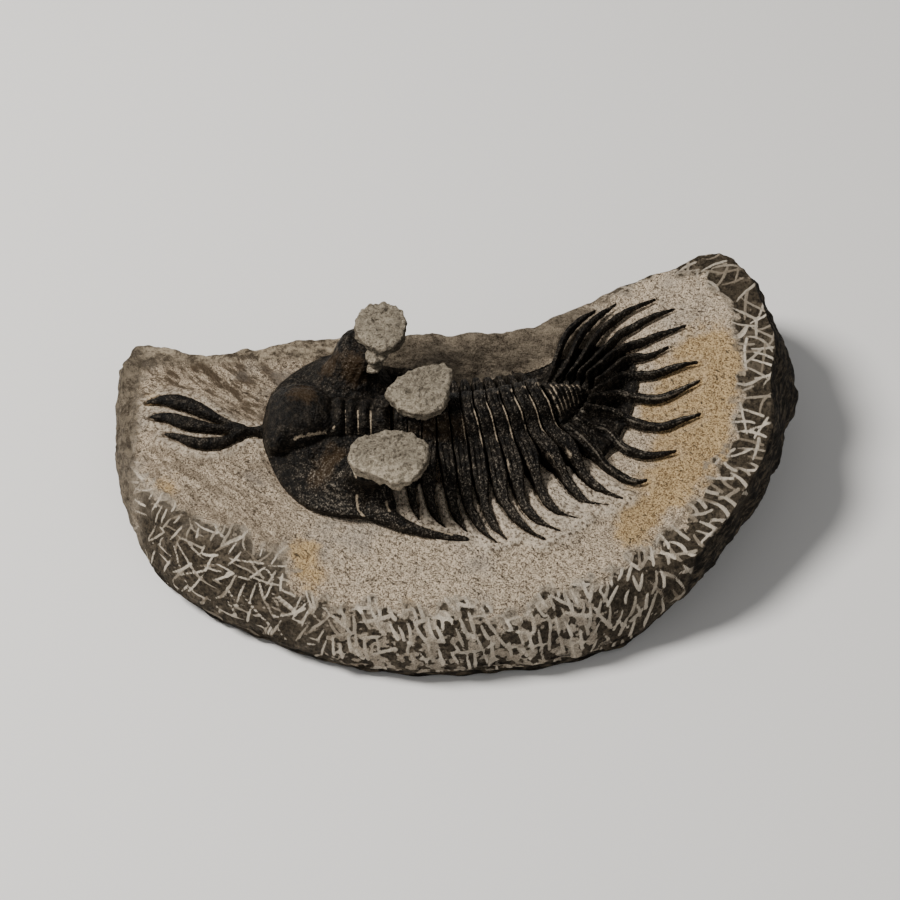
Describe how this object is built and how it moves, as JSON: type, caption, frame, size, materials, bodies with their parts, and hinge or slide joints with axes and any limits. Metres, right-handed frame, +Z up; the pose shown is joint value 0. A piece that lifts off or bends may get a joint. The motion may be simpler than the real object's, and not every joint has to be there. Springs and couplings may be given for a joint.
{
  "type": "prepared trilobite fossil on matrix",
  "caption": "Spiny trilobite with a three-pronged head fork and stalked eyes, lying on a half-moon slab of limestone, with small pads of stone left on its eyes and neck.",
  "frame": {"origin": "centre of the bounding box, at the slab's flat underside", "axes": "+X from the trilobite's head towards its tail, along the slab's longest side, +Y to the far side that the body bends towards, +Z up from the slab's underside"},
  "size_m": [0.1085, 0.0718, 0.027],
  "materials": {
    "slab_limestone": "matt, tooled limestone, grey and rough at the edge",
    "fossil_shell": "near-black calcite shell, finely granular, half gloss",
    "pad_limestone": "matt, pale limestone, picked flat"
  },
  "bodies": {
    "root": {"matrix_slab": "slab_limestone", "cephalon": "fossil_shell", "thoracic_segment_01": "fossil_shell", "thoracic_segment_02": "fossil_shell", "thoracic_segment_03": "fossil_shell", "thoracic_segment_04": "fossil_shell", "thoracic_segment_05": "fossil_shell", "thoracic_segment_06": "fossil_shell", "thoracic_segment_07": "fossil_shell", "thoracic_segment_08": "fossil_shell", "thoracic_segment_09": "fossil_shell", "thoracic_segment_10": "fossil_shell", "thoracic_segment_11": "fossil_shell", "pygidium": "fossil_shell", "matrix_on_near_eye": "pad_limestone", "matrix_on_far_eye": "pad_limestone", "matrix_on_occipital_spine": "pad_limestone"}
  },
  "joints": []
}
